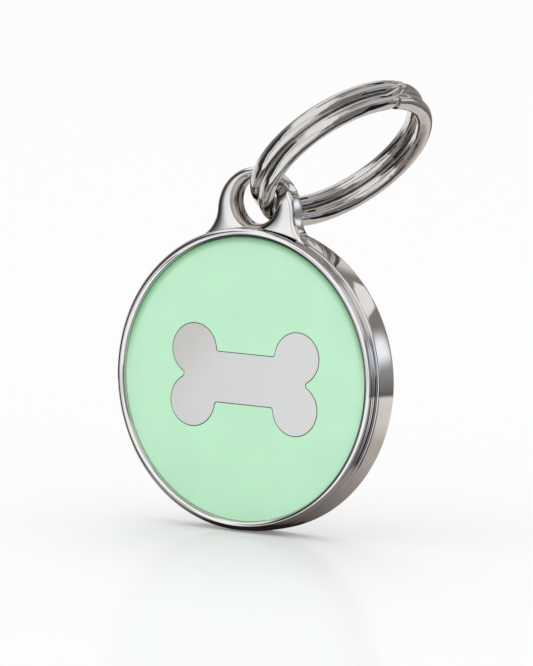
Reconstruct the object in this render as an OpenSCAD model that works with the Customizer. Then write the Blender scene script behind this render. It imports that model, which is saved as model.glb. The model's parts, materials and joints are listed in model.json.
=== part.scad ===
// Round pet tag with a bone badge, a cast hanging loop and a split ring.
// Lengths are millimetres and angles are degrees. +Z is up, the front faces -Y,
// and the origin is the centre of the flat back face.

/* [Case] */
// Outside diameter of the round case
case_d = 28; // [24:0.5:36]
// Width of the plain side band, from the back face to the front shoulder
band_t = 2.7; // [2.4:0.1:3.4]
// Thickness of the wall around the front pocket
case_wall = 0.55; // [0.4:0.05:0.8]
// Depth of the front pocket below the shoulder
pocket_depth = 0.3; // [0.2:0.05:0.6]
// Radius of the band's front edge
front_edge_r = 0.12; // [0.05:0.01:0.2]
// Radius of the band's back edge
back_edge_r = 0.2; // [0.05:0.01:0.3]

/* [Bezel] */
// Width of the flat shoulder left outside the bead
shoulder_w = 0.14; // [0.1:0.02:0.3]
// Width of the polished bead around the enamel
bead_w = 0.85; // [0.7:0.05:1.1]
// Height of the bead's crest above the enamel
bead_rise = 0.5; // [0.3:0.05:0.8]
// Depth of the cove below the bead
cove_depth = 0.14; // [0.05:0.01:0.25]
// Radius of the cove below the bead
cove_r = 0.5; // [0.4:0.05:0.8]

/* [Enamel and badge] */
// Thickness of the enamel over the pocket floor
enamel_t = 1.1; // [0.8:0.05:1.6]
// Distance from the badge's middle to the centres of its end lobes, sideways
lobe_x = 5.56; // [4.5:0.1:6.5]
// Distance from the badge's middle to the centres of its end lobes, up and down
lobe_z = 2.35; // [2:0.05:2.6]
// Radius of each end lobe
lobe_r = 2.38; // [2.1:0.05:2.8]
// Height of the badge's shaft
shaft_h = 4.62; // [3.6:0.1:5]
// Radius where a lobe runs into the shaft
shaft_fillet_r = 0.3; // [0.15:0.05:0.5]
// Radius of the notch between the two lobes of an end
notch_fillet_r = 0.35; // [0.15:0.05:0.6]
// How far the badge stands above the enamel
badge_proud = 0.05; // [0.02:0.01:0.15]
// Joint line between the badge and the enamel
badge_gap = 0.06; // [0.03:0.01:0.12]
// Diameter of the two pegs under the badge
peg_d = 1.2; // [0.8:0.1:1.6]
// Length of the pegs under the badge
peg_l = 0.9; // [0.6:0.1:1.2]

/* [Back] */
// Diameter of the plain plate for the owner's details
plate_d = 23; // [18:0.5:23.5]
// Thickness of the back plate
plate_t = 0.45; // [0.3:0.05:0.6]
// Thickness of the adhesive disc under the back plate
adhesive_t = 0.1; // [0.05:0.05:0.2]
// Distance from the plate's edge in to the adhesive disc's edge
adhesive_inset = 0.5; // [0.3:0.1:1]

/* [Hanging loop] */
// Depth of the loop from its front to its back
loop_t = 1.8; // [1.6:0.05:2]
// How far the loop's front stands before the band's front shoulder
loop_proud = 0.2; // [0:0.05:0.4]
// Room around the leaning pair of turns in the loop's hole
hole_play = 0.37; // [0.35:0.01:0.5]
// Metal left between the case's rim and the bottom of the hole
hole_sill = 0.2; // [0.15:0.01:0.3]
// Radius of the hole's rims
hole_edge_r = 0.6; // [0.5:0.02:0.62]
// Thickness of metal over the top of the hole
loop_top = 1.05; // [1.04:0.01:1.4]
// Extra half width of the loop, beside the hole
loop_side = 2.1; // [1.6:0.05:2.5]
// Radius of the flare where the loop runs into the case
flare_r = 3; // [2:0.1:4]
// Radius of the loop's outer edges
loop_edge_r = 0.4; // [0.2:0.02:0.4]

/* [Split ring] */
// Outside diameter of the split ring
ring_d = 18; // [16:0.5:20]
// Diameter of the ring's wire
wire_d = 1.5; // [1.3:0.05:1.6]
// Gap between the two turns of wire
turn_gap = 0.02; // [0.01:0.01:0.05]
// Where the wire crosses from one turn to the other, counted from the loop
crossing_angle = 224; // [120:1:240]
// Half of the angle over which the wire crosses
crossing_half = 16; // [14:1:24]
// How far each ground end reaches past the middle of the crossing
end_reach = 6; // [3:1:7]
// How far the ring's middle lies past one wire radius circle from the hole
ring_slack = 0.3; // [0.2:0.01:0.4]
// Sideways shift of the pair of turns in the hole
ring_shift = 0.3; // [0.2:0.01:0.35]
// Swing of the ring to the side, about the axis of the hole
ring_swing = 50; // [0:0.5:90]
// Lean of the ring towards the back
ring_lean = 30; // [24:0.5:30]
// Turn of the ring about the line from the hole to its middle
ring_twist = -9; // [-10:0.5:-5]

/* [Hidden] */
$fn = 96;
small_fn = 48;
over = 1;
bite = 0.005;
joint_fit = 0.02;
break_r = 0.08;
peg_clearance = 0.05;
plate_clearance = 0.05;
peg_place_share = 0.62;

case_r = case_d / 2;
wire_r = wire_d / 2;
turn_offset = wire_r + turn_gap / 2;

// Levels are counted from the back face towards the front.
recess_depth = plate_t + adhesive_t;
floor_level = band_t - pocket_depth;
enamel_level = floor_level + enamel_t;
crest_level = enamel_level + bead_rise;

pocket_r = case_r - case_wall;
bead_out_r = case_r - shoulder_w;
bead_in_r = bead_out_r - bead_w;
bead_r = bead_w / 2;
bead_level = crest_level - bead_r;
cove_level = (band_t + bead_level) / 2;
plate_r = plate_d / 2;

ring_r = ring_d / 2 - wire_r;
loop_level = band_t + loop_proud - loop_t;
// How far the leaning and twisted ring moves across the hole between its middle and its lips.
lean_room = (loop_t / 2 - hole_edge_r) * (tan(ring_lean) + tan(-ring_twist));
hole_r = turn_offset + wire_r + lean_room + hole_play;
hole_z = case_r + hole_sill + hole_r;
loop_r = hole_r + loop_side;
loop_z = hole_z + hole_r + loop_top - loop_r;
// The flare's circle bites a little into the case and the arch, so that they cross cleanly.
case_reach = case_r + flare_r - bite;
arch_reach = loop_r + flare_r - bite;
flare_z = (pow(case_reach, 2) - pow(arch_reach, 2) + pow(loop_z, 2)) / (2 * loop_z);
flare_x = sqrt(pow(case_reach, 2) - pow(flare_z, 2));

ring_reach = ring_r + ring_slack;
full_turn = 360;
wire_end = 2 * full_turn + end_reach;
wire_sides = 16;
turn_steps = 36;
slope_steps = 4;
end_steps = 5;

badge_h = enamel_t + badge_proud;
peg_x = lobe_x * peg_place_share;

// Turns a shape that is drawn flat, with its front on top, to face -Y.
module facing_front() {
    rotate([90, 0, 0]) children();
}

// The corner of a turned edge: what a quarter round of radius r leaves outside.
module edge_corner(r) {
    difference() {
        square(r + over);
        circle(r, $fn = small_fn);
    }
}

// The rim's turned outline: a disc with a rounded front and back edge.
module case_profile() {
    difference() {
        square([case_r, band_t]);
        translate([case_r - front_edge_r, band_t - front_edge_r]) edge_corner(front_edge_r);
        translate([case_r - back_edge_r, back_edge_r]) mirror([0, 1]) edge_corner(back_edge_r);
    }
}

// A hole of radius r through the loop, with rims rounded by the radius edge_r, for cutting.
module rounded_hole(r, edge_r) {
    rotate_extrude() difference() {
        translate([0, -over]) square([r + edge_r, loop_t + 2 * over]);
        translate([r, edge_r]) square([edge_r + over, loop_t - 2 * edge_r]);
        for (level = [edge_r - bite, loop_t - edge_r + bite])
            translate([r + edge_r, level]) circle(edge_r, $fn = small_fn);
    }
}

// Round top of the hanging loop, with rounded rims.
module loop_arch() {
    translate([0, loop_z, 0]) rotate_extrude() difference() {
        square([loop_r, loop_t]);
        translate([loop_r - loop_edge_r, loop_t - loop_edge_r]) edge_corner(loop_edge_r);
        translate([loop_r - loop_edge_r, loop_edge_r]) mirror([0, 1]) edge_corner(loop_edge_r);
    }
}

// The loop's right foot, which flares from the arch into the case.
module loop_foot() {
    difference() {
        linear_extrude(loop_t) polygon([[0, 0], [flare_x, flare_z], [0, loop_z]]);
        translate([flare_x, flare_z, 0]) rounded_hole(flare_r, loop_edge_r);
    }
}

// Hanging loop: arch, both feet and the round hole, set towards the case's front.
module hanging_loop() {
    translate([0, 0, loop_level]) difference() {
        union() {
            loop_arch();
            for (side = [0, 1]) mirror([side, 0, 0]) loop_foot();
        }
        translate([0, hole_z, 0]) rounded_hole(hole_r, hole_edge_r);
    }
}

// Cast body: band, floor and hanging loop in one piece.
module case() {
    color([0.72, 0.70, 0.68]) facing_front() difference() {
        union() {
            rotate_extrude() case_profile();
            hanging_loop();
        }
        translate([0, 0, floor_level]) cylinder(r = pocket_r, h = band_t);
        translate([0, 0, band_t]) cylinder(r = bead_out_r + joint_fit, h = band_t);
        translate([0, 0, -over]) cylinder(r = plate_r + plate_clearance, h = recess_depth + over);
        for (side = [-1, 1]) translate([side * peg_x, 0, floor_level - peg_l - peg_clearance])
            cylinder(d = peg_d + 2 * peg_clearance, h = peg_l + over, $fn = small_fn);
    }
}

module bezel_profile() {
    difference() {
        union() {
            translate([bead_in_r, floor_level]) square([pocket_r - joint_fit - bead_in_r, pocket_depth]);
            translate([bead_in_r, band_t]) square([bead_w, bead_level - band_t]);
            translate([bead_in_r + bead_r, bead_level]) circle(bead_r, $fn = small_fn);
        }
        translate([bead_out_r - cove_depth + cove_r, cove_level]) circle(cove_r, $fn = small_fn);
    }
}

// Polished ring pressed into the pocket, which frames the enamel.
module bezel_ring() {
    color([0.86, 0.85, 0.84]) facing_front() rotate_extrude() bezel_profile();
}

// The badge's outline, grown on all sides by grow. Its hollow corners bite a little too.
module badge_outline(grow = 0) {
    r = lobe_r + grow;
    h = shaft_h / 2 + grow;
    shaft_f = shaft_fillet_r - grow;
    notch_f = notch_fillet_r - grow;
    fillet_z = h + shaft_f - bite;
    fillet_x = lobe_x - sqrt(pow(r + shaft_f - bite, 2) - pow(fillet_z - lobe_z, 2));
    notch_x = lobe_x + sqrt(pow(r + notch_f - bite, 2) - pow(lobe_z, 2));
    square([2 * lobe_x, 2 * h], center = true);
    for (side = [0, 1]) mirror([side, 0]) {
        difference() {
            polygon([[lobe_x, lobe_z], [notch_x, 0], [lobe_x, -lobe_z]]);
            translate([notch_x, 0]) circle(notch_f, $fn = small_fn);
        }
        for (end = [0, 1]) mirror([0, end]) {
            translate([lobe_x, lobe_z]) circle(r);
            difference() {
                polygon([[fillet_x, 0], [fillet_x, fillet_z], [lobe_x, lobe_z], [lobe_x, 0]]);
                translate([fillet_x, fillet_z]) circle(shaft_f, $fn = small_fn);
            }
        }
    }
}

// Enamel poured on the pocket floor, round the badge.
module enamel_fill() {
    color([0.70, 0.91, 0.76]) facing_front() translate([0, 0, floor_level]) difference() {
        cylinder(r = bead_in_r - joint_fit, h = enamel_t);
        translate([0, 0, -over]) linear_extrude(enamel_t + 2 * over) badge_outline(badge_gap);
    }
}

// Satin badge with two pegs that locate it in the pocket floor.
module bone_badge() {
    color([0.84, 0.83, 0.83]) facing_front() translate([0, 0, floor_level]) {
        linear_extrude(badge_h) badge_outline();
        for (side = [-1, 1]) translate([side * peg_x, 0, -peg_l])
            cylinder(d = peg_d, h = peg_l + badge_h / 2, $fn = small_fn);
    }
}

// Blank plate for the owner's details, flush with the back face.
module back_plate() {
    color([0.78, 0.78, 0.78]) facing_front() rotate_extrude() difference() {
        square([plate_r, plate_t]);
        translate([plate_r - break_r, break_r]) mirror([0, 1]) edge_corner(break_r);
    }
}

// Adhesive disc that holds the back plate in its recess.
module adhesive_disc() {
    color([0.92, 0.91, 0.86]) facing_front() translate([0, 0, plate_t])
        cylinder(r = plate_r - adhesive_inset, h = adhesive_t);
}

// Height of the wire's middle line at angle a along the wire, which winds twice round.
// The first turn lies in front and the second behind it.
function crossing_turn(a) = 90 * max(0, min(2, (a - full_turn + crossing_half) / crossing_half));
function wire_level(a) = turn_offset * cos(crossing_turn(a));
function wire_slope(a) = atan(turn_offset * 90 / crossing_half * sin(crossing_turn(a)) / ring_r);

// Height of the skin of a round wire at angle a, at the angle around its own middle line.
function round_skin(a, around) = wire_level(a) + wire_r * sin(around) / cos(wire_slope(a));

// The same, with both ends ground hollow to lie on the crossing wire.
function wire_skin(a, around) =
    a < crossing_half && sin(around) < 0
        ? max(round_skin(a, around), round_skin(a + full_turn, -around) + turn_gap)
    : a > 2 * full_turn - crossing_half && sin(around) > 0
        ? min(round_skin(a, around), round_skin(a - full_turn, -around) - turn_gap)
    : round_skin(a, around);

// Angles of the sections, close together where the wire crosses or ends.
function steps(from, to, count) = [for (i = [0 : count - 1]) from + (to - from) * i / count];
function crossing_steps(middle) = concat(
    steps(middle - crossing_half, middle - end_reach, slope_steps),
    steps(middle - end_reach, middle + end_reach, end_steps),
    steps(middle + end_reach, middle + crossing_half, slope_steps));
function section_angles() = concat(
    [for (a = crossing_steps(0)) if (a >= -end_reach) a],
    steps(crossing_half, full_turn - crossing_half, turn_steps),
    crossing_steps(full_turn),
    steps(full_turn + crossing_half, 2 * full_turn - crossing_half, turn_steps),
    [for (a = crossing_steps(2 * full_turn)) if (a < wire_end) a],
    [wire_end]);

function wire_point(a, around) =
    let (reach = ring_r + wire_r * cos(around), turn = crossing_angle + a)
    [reach * cos(turn), reach * sin(turn), wire_skin(a, around)];

// Triangles of the skin between two neighbouring sections.
function skin_faces(section) = [
    for (j = [0 : wire_sides - 1])
        let (
            here = section * wire_sides + j,
            beside = section * wire_sides + (j + 1) % wire_sides
        )
        each [[here, beside, beside + wire_sides], [here, beside + wire_sides, here + wire_sides]]
];

// Triangles of a flat end, in strips from the points above to the points below them.
function end_faces(first) = [
    for (i = [0 : wire_sides / 2 - 1])
        let (
            up = first + i,
            down = first + (wire_sides - i) % wire_sides,
            down_next = first + wire_sides - i - 1
        )
        each concat(
            i > 0 ? [[up, up + 1, down]] : [],
            i < wire_sides / 2 - 1 ? [[down, up + 1, down_next]] : [])
];
function turned_over(faces) = [for (face = faces) [face[0], face[2], face[1]]];

// Split ring: one wire in two turns, lying flat with its middle at the origin.
module ring_wire() {
    angles = section_angles();
    last = len(angles) - 1;
    points = [for (a = angles, j = [0 : wire_sides - 1]) wire_point(a, full_turn * j / wire_sides)];
    skin = [for (section = [0 : last - 1]) each skin_faces(section)];
    polyhedron(points, concat(turned_over(end_faces(0)), skin, end_faces(last * wire_sides)));
}

// The ring where it hangs in the loop's hole, thrown to the side as it lies at rest.
module split_ring() {
    color([0.80, 0.79, 0.78]) translate([0, -loop_level - loop_t / 2, hole_z]) rotate([0, ring_swing, 0])
        rotate([-ring_lean, 0, 0]) rotate([0, 0, ring_twist]) translate([ring_shift, 0, ring_reach])
            rotate([0, 90, 0]) ring_wire();
}

// Least gap between the two turns, measured on the points of the skin.
turn_gaps = [
    for (a = section_angles(), j = [1 : wire_sides / 2 - 1])
        let (around = full_turn * j / wire_sides)
        if (a <= full_turn + end_reach) wire_skin(a, -around) - wire_skin(a + full_turn, around)
];
echo(least_gap_between_turns = min(turn_gaps));

case();
bezel_ring();
enamel_fill();
bone_badge();
back_plate();
adhesive_disc();
split_ring();
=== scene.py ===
import json
import math

import bmesh
import bpy
from bpy.props import FloatProperty, FloatVectorProperty, IntProperty, PointerProperty
from mathutils import Matrix, Vector

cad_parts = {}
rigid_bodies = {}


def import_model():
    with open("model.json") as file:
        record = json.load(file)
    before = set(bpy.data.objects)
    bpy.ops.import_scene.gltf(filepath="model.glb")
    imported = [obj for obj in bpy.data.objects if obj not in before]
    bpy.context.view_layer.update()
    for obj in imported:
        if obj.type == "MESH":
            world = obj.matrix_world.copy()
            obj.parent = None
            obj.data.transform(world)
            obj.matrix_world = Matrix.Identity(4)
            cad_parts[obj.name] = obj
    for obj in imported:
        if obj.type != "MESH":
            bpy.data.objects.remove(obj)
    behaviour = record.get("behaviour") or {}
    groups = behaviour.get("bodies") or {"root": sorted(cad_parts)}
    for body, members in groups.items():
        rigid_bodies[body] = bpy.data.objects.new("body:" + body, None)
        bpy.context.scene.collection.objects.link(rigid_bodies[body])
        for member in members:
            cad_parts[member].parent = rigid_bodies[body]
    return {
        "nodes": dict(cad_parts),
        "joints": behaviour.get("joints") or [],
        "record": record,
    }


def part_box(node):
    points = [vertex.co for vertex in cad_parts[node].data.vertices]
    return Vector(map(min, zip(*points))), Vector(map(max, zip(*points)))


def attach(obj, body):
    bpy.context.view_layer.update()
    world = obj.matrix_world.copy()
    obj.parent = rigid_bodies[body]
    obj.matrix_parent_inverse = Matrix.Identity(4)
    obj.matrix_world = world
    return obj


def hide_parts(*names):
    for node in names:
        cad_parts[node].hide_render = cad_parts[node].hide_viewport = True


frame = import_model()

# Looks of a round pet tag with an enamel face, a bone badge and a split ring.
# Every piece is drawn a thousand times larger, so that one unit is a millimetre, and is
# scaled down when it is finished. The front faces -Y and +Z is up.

bl_info = {
    "name": "Pet Tag Looks",
    "version": (1, 0, 0),
    "blender": (4, 5, 0),
    "location": "3D View > Sidebar > Pet Tag",
    "description": "Builds the polished case, enamel, badge and split ring of a pet tag",
    "category": "Object",
}

MM = 0.001
QUARTER_TURN = math.pi / 2
FULL_TURN = 2 * math.pi
TOUCHING = 1e-4

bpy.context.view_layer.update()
CASE_LOW, CASE_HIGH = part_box("case")
BEAD_LOW, BEAD_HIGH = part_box("bezel_ring")
ENAMEL_LOW, ENAMEL_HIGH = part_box("enamel_fill")
BADGE_LOW, BADGE_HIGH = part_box("bone_badge")
PLATE_LOW, PLATE_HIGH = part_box("back_plate")
HOLE_MIDDLE = Vector(frame["joints"][0]["pos_m"])
RING_MOUNT = next(m for m in frame["record"]["mounts"] if m["name"] == "split_ring")

# The key lamp's place, high behind the tag as the camera sees it.
KEY_FROM = (-0.25, 0.39, 0.39)

# The floor's paint, the glow that brings it to white, and the share and dullness of its gloss.
FLOOR_PAINT = 0.60
FLOOR_GLOW = 0.205
FLOOR_GLOSS = 0.10
FLOOR_ROUGHNESS = 0.12

# What a finish's colour is multiplied by in its dulled spots, and where shade or a shadow is
# painted on it.
DULLED_TINT = (0.95, 0.94, 0.925)
HOLE_SHADE_TINT = (0.5, 0.46, 0.43)
BEAD_SHADE_TINT = (0.12, 0.12, 0.14)
LIP_SHADOW_TINT = (0.35, 0.55, 0.38)
CORNER_SHADE_TINT = (0.86, 0.84, 0.81)
JOINT_SHADE_TINT = (0.07, 0.06, 0.05)


# Properties


class CaseSizes(bpy.types.PropertyGroup):
    """Sizes of the cast case and its hanging loop."""

    wall: FloatProperty(
        name="Wall", description="Wall round the front pocket",
        default=0.55 * MM, unit="LENGTH", precision=5,
    )
    pocket_depth: FloatProperty(
        name="Pocket depth", description="Depth of the pocket below the shoulder",
        default=0.3 * MM, unit="LENGTH", precision=5,
    )
    crown: FloatProperty(
        name="Crown", description="How far the side band's middle stands over its edges",
        default=0.018 * MM, unit="LENGTH", precision=5,
    )
    front_edge: FloatProperty(
        name="Front edge", description="Radius of the band's front edge",
        default=0.16 * MM, unit="LENGTH", precision=5,
    )
    back_edge: FloatProperty(
        name="Back edge", description="Radius of the band's back edge",
        default=0.25 * MM, unit="LENGTH", precision=5,
    )
    recess_depth: FloatProperty(
        name="Recess depth", description="Depth of the recess for the back plate",
        default=0.55 * MM, unit="LENGTH", precision=5,
    )
    plate_clearance: FloatProperty(
        name="Plate clearance", description="Gap round the back plate",
        default=0.05 * MM, unit="LENGTH", precision=5,
    )
    loop_depth: FloatProperty(
        name="Loop depth", description="Depth of the loop from its front to its back",
        default=1.8 * MM, unit="LENGTH", precision=5,
    )
    loop_proud: FloatProperty(
        name="Loop proud", description="How far the loop stands before the band's shoulder",
        default=0.2 * MM, unit="LENGTH", precision=5,
    )
    loop_side: FloatProperty(
        name="Loop side", description="Extra half width of the loop beside its hole",
        default=2.1 * MM, unit="LENGTH", precision=5,
    )
    flare: FloatProperty(
        name="Flare", description="Radius where the loop runs into the case",
        default=3.0 * MM, unit="LENGTH", precision=5,
    )
    loop_edge: FloatProperty(
        name="Loop edge", description="Radius of the loop's outer rims",
        default=0.4 * MM, unit="LENGTH", precision=5,
    )
    hole_sill: FloatProperty(
        name="Hole sill", description="Metal left between the case and the hole",
        default=0.2 * MM, unit="LENGTH", precision=5,
    )
    hole_edge: FloatProperty(
        name="Hole edge", description="Radius of the hole's rims",
        default=0.6 * MM, unit="LENGTH", precision=5,
    )
    segments: IntProperty(
        name="Segments", description="Straight stretches round the case", default=288, min=96
    )


class BezelSizes(bpy.types.PropertyGroup):
    """Sizes of the polished bead."""

    width: FloatProperty(
        name="Width", description="Width of the bead",
        default=0.85 * MM, unit="LENGTH", precision=5,
    )
    cove_depth: FloatProperty(
        name="Cove depth", description="Depth of the hollow flank below the bead",
        default=0.14 * MM, unit="LENGTH", precision=5,
    )
    cove_radius: FloatProperty(
        name="Cove radius", description="Radius of the hollow flank",
        default=0.5 * MM, unit="LENGTH", precision=5,
    )


class FaceSizes(bpy.types.PropertyGroup):
    """Sizes of the enamel and the badge in it."""

    lobe_x: FloatProperty(
        name="Lobe place, sideways", description="Badge's middle to its lobes' centres",
        default=5.56 * MM, unit="LENGTH", precision=5,
    )
    lobe_z: FloatProperty(
        name="Lobe place, upwards", description="Badge's middle to its lobes' centres",
        default=2.35 * MM, unit="LENGTH", precision=5,
    )
    shaft_height: FloatProperty(
        name="Shaft height", description="Height of the badge's shaft",
        default=4.62 * MM, unit="LENGTH", precision=5,
    )
    shaft_fillet: FloatProperty(
        name="Shaft fillet", description="Radius where a lobe runs into the shaft",
        default=0.3 * MM, unit="LENGTH", precision=5,
    )
    notch_fillet: FloatProperty(
        name="Notch fillet", description="Radius of the notch between two lobes",
        default=0.35 * MM, unit="LENGTH", precision=5,
    )
    joint_line: FloatProperty(
        name="Joint line", description="Gap between the badge and the enamel",
        default=0.06 * MM, unit="LENGTH", precision=5,
    )
    meniscus: FloatProperty(
        name="Meniscus", description="How far the enamel climbs at the bead",
        default=0.03 * MM, unit="LENGTH", precision=5,
    )


class RingSizes(bpy.types.PropertyGroup):
    """Sizes of the split ring."""

    diameter: FloatProperty(
        name="Diameter", description="Outside diameter of the ring",
        default=18 * MM, unit="LENGTH", precision=5,
    )
    wire: FloatProperty(
        name="Wire", description="Diameter of the wire",
        default=1.5 * MM, unit="LENGTH", precision=5,
    )
    turn_gap: FloatProperty(
        name="Turn gap", description="Gap between the two turns",
        default=0.02 * MM, unit="LENGTH", precision=5,
    )
    crossing_angle: FloatProperty(
        name="Crossing", description="Where the wire crosses, counted from the loop",
        default=math.radians(224), subtype="ANGLE",
    )
    crossing_half: FloatProperty(
        name="Crossing half", description="Half of the angle over which the wire crosses",
        default=math.radians(16), subtype="ANGLE",
    )
    end_reach: FloatProperty(
        name="End reach", description="How far an end reaches past the crossing's middle",
        default=math.radians(6), subtype="ANGLE",
    )
    sides: IntProperty(name="Sides", description="Sides of the wire", default=48, min=12)


class Finishes(bpy.types.PropertyGroup):
    """Colours of the finishes."""

    plating: FloatVectorProperty(
        name="Plating", description="Polished warm plating on the case and the bead",
        default=(0.63, 0.605, 0.585), subtype="COLOR", min=0, max=1,
    )
    wire: FloatVectorProperty(
        name="Wire", description="Polished plating on the split ring",
        default=(0.52, 0.49, 0.465), subtype="COLOR", min=0, max=1,
    )
    enamel: FloatVectorProperty(
        name="Enamel", description="Pale green enamel",
        default=(0.49, 0.815, 0.562), subtype="COLOR", min=0, max=1,
    )
    badge: FloatVectorProperty(
        name="Badge", description="Satin silver of the badge",
        default=(0.695, 0.69, 0.686), subtype="COLOR", min=0, max=1,
    )
    plate: FloatVectorProperty(
        name="Plate", description="Brushed steel of the back plate",
        default=(0.62, 0.62, 0.62), subtype="COLOR", min=0, max=1,
    )
    adhesive: FloatVectorProperty(
        name="Adhesive", description="Adhesive film behind the plate",
        default=(0.84, 0.83, 0.78), subtype="COLOR", min=0, max=1,
    )


class StageSettings(bpy.types.PropertyGroup):
    """Place of the camera and strength of the light."""

    azimuth: FloatProperty(
        name="Azimuth", description="Turn of the camera round the tag",
        default=math.radians(32.614), subtype="ANGLE",
    )
    elevation: FloatProperty(
        name="Elevation", description="Height of the camera as an angle",
        default=math.radians(5.555), subtype="ANGLE",
    )
    roll: FloatProperty(
        name="Roll", description="Tilt of the picture",
        default=math.radians(2.193), subtype="ANGLE",
    )
    distance: FloatProperty(
        name="Distance", description="Camera to the point that it looks at",
        default=682.94 * MM, unit="LENGTH", precision=5,
    )
    focal_length: FloatProperty(
        name="Focal length", description="Focal length in millimetres for a 36 mm long side",
        default=405.17,
    )
    aim: FloatVectorProperty(
        name="Aim", description="Point that the camera looks at",
        default=(2.2083 * MM, -3.5251 * MM, 4.4488 * MM), subtype="XYZ", unit="LENGTH",
    )
    key_power: FloatProperty(
        name="Key power", description="Strength of the key lamp behind the tag", default=0.7
    )
    key_spread: FloatProperty(
        name="Key spread", description="Angle that the key lamp fills, which softens its shadow",
        default=math.radians(30), subtype="ANGLE",
    )
    fill_light: FloatProperty(
        name="Fill light", description="Strength of the even light from all round", default=1.19
    )


# Modelling helpers


def hole_radius(sizes):
    """Radius in millimetres of the loop's hole, which leaves the sill of metal under it."""
    return HOLE_MIDDLE.z / MM - CASE_HIGH.x / MM - sizes.hole_sill / MM


def clear_selection():
    """Leaves edit mode and selects nothing."""
    if bpy.context.object and bpy.context.object.mode != "OBJECT":
        bpy.ops.object.mode_set(mode="OBJECT")
    bpy.ops.object.select_all(action="DESELECT")


def start_piece(name):
    """Opens an empty mesh at the origin in edit mode."""
    clear_selection()
    bpy.ops.object.add(type="MESH")
    piece = bpy.context.object
    piece.name = name
    piece.data.name = name
    bpy.ops.object.mode_set(mode="EDIT")
    return piece


def pick(piece, kind, test):
    """Selects only the vertices, edges or faces of the piece that pass the test."""
    bpy.ops.mesh.select_mode(type={"verts": "VERT", "edges": "EDGE", "faces": "FACE"}[kind])
    bpy.ops.mesh.select_all(action="DESELECT")
    mesh = bmesh.from_edit_mesh(piece.data)
    mesh.verts.index_update()
    for part in getattr(mesh, kind):
        if test(part):
            part.select_set(True)
    mesh.select_flush_mode()
    bmesh.update_edit_mesh(piece.data)


def draw_line(points, closed=False):
    """Draws a line of straight stretches by extruding one point from corner to corner."""
    bpy.ops.mesh.select_mode(type="VERT")
    bpy.ops.mesh.select_all(action="DESELECT")
    bpy.ops.mesh.primitive_plane_add(size=1, location=points[0])
    bpy.ops.mesh.merge(type="CENTER")
    for here, there in zip(points, points[1:]):
        bpy.ops.mesh.extrude_region_move(
            TRANSFORM_OT_translate={"value": Vector(there) - Vector(here)}
        )
    bpy.ops.mesh.select_linked()
    if closed:
        mesh = bmesh.from_edit_mesh(bpy.context.object.data)
        for vertex in mesh.verts:
            vertex.select_set(vertex.select and len(vertex.link_edges) == 1)
        mesh.select_flush_mode()
        bpy.ops.mesh.edge_face_add()
        bpy.ops.mesh.select_linked()


def bridge_in_order(piece, around):
    """Bridges closed lines of equally many points, each to the next and the last to the first."""
    count = len(bmesh.from_edit_mesh(piece.data).verts) // around
    for index in range(count):
        pair = ({index}, {(index + 1) % count})
        pick(piece, "edges", lambda edge: {v.index // around for v in edge.verts} in pair)
        bpy.ops.mesh.bridge_edge_loops()


def arc(middle, radius, start, end, count):
    """Points on a circle round middle, from the angle start to the angle end."""
    turns = [start + (end - start) * i / count for i in range(count + 1)]
    return [
        (middle[0] + radius * math.cos(turn), middle[1] + radius * math.sin(turn))
        for turn in turns
    ]


def finish_piece(piece, body, finish, node, sharp=30):
    """Scales the piece down to its size, smooths it, and gives it its body and finish.

    Edges that turn by more than the angle sharp, in degrees, stay sharp.
    """
    bpy.ops.mesh.select_all(action="SELECT")
    bpy.ops.mesh.normals_make_consistent(inside=False)
    clear_selection()
    piece.select_set(True)
    bpy.context.view_layer.objects.active = piece
    piece.scale = (MM, MM, MM)
    bpy.ops.object.transform_apply(location=False, rotation=False, scale=True)
    bpy.ops.object.shade_smooth_by_angle(angle=math.radians(sharp))
    weights = piece.modifiers.new("Weighted normals", "WEIGHTED_NORMAL")
    weights.keep_sharp = True
    weights.weight = 100
    bpy.ops.object.modifier_apply(modifier=weights.name)
    piece.data.materials.clear()
    piece.data.materials.append(bpy.data.materials[finish])
    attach(piece, body)
    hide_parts(node)


def turn_outline(outline, steps):
    """Spins an outline of (radius, level) points about the Y axis into a closed solid."""
    draw_line([(radius, level, 0) for radius, level in outline])
    bpy.ops.mesh.spin(steps=steps, angle=FULL_TURN, center=(0, 0, 0), axis=(0, 1, 0))
    bpy.ops.mesh.select_all(action="SELECT")
    bpy.ops.mesh.remove_doubles(threshold=TOUCHING)


# Material helpers


def new_material(name):
    """A material with an empty node tree."""
    material = bpy.data.materials.new(name)
    material.use_nodes = True
    material.node_tree.nodes.clear()
    return material


def fill_socket(tree, socket, value):
    """Gives an input its value, or links it where the value is another node's output."""
    if isinstance(value, bpy.types.NodeSocket):
        tree.links.new(value, socket)
    else:
        socket.default_value = value


def add_node(tree, kind, **settings):
    """Adds a node. Each key names one of its properties or, with _ for a space, an input."""
    node = tree.nodes.new(kind)
    for key, value in settings.items():
        if hasattr(node, key):
            setattr(node, key, value)
        else:
            fill_socket(tree, node.inputs[key.replace("_", " ")], value)
    return node


def add_group(tree, name, **settings):
    """Places the node group of that name."""
    return add_node(tree, "ShaderNodeGroup", node_tree=bpy.data.node_groups[name], **settings)


def calculate(tree, operation, *values):
    """The result of a math node on numbers and sockets."""
    node = add_node(tree, "ShaderNodeMath", operation=operation)
    for socket, value in zip(node.inputs, values):
        fill_socket(tree, socket, value)
    return node.outputs[0]


def calculate_vector(tree, operation, *values):
    """The result of a vector math node on vectors and sockets."""
    node = add_node(tree, "ShaderNodeVectorMath", operation=operation)
    for socket, value in zip(node.inputs, values):
        fill_socket(tree, socket, value)
    return node.outputs["Value" if operation in {"DOT_PRODUCT", "LENGTH"} else "Vector"]


def millimetre_vector(tree):
    """Object coordinates counted in millimetres."""
    place = add_node(tree, "ShaderNodeTexCoord").outputs["Object"]
    scaled = add_node(tree, "ShaderNodeVectorMath", operation="SCALE", Scale=1 / MM)
    tree.links.new(place, scaled.inputs[0])
    return scaled.outputs[0]


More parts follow.
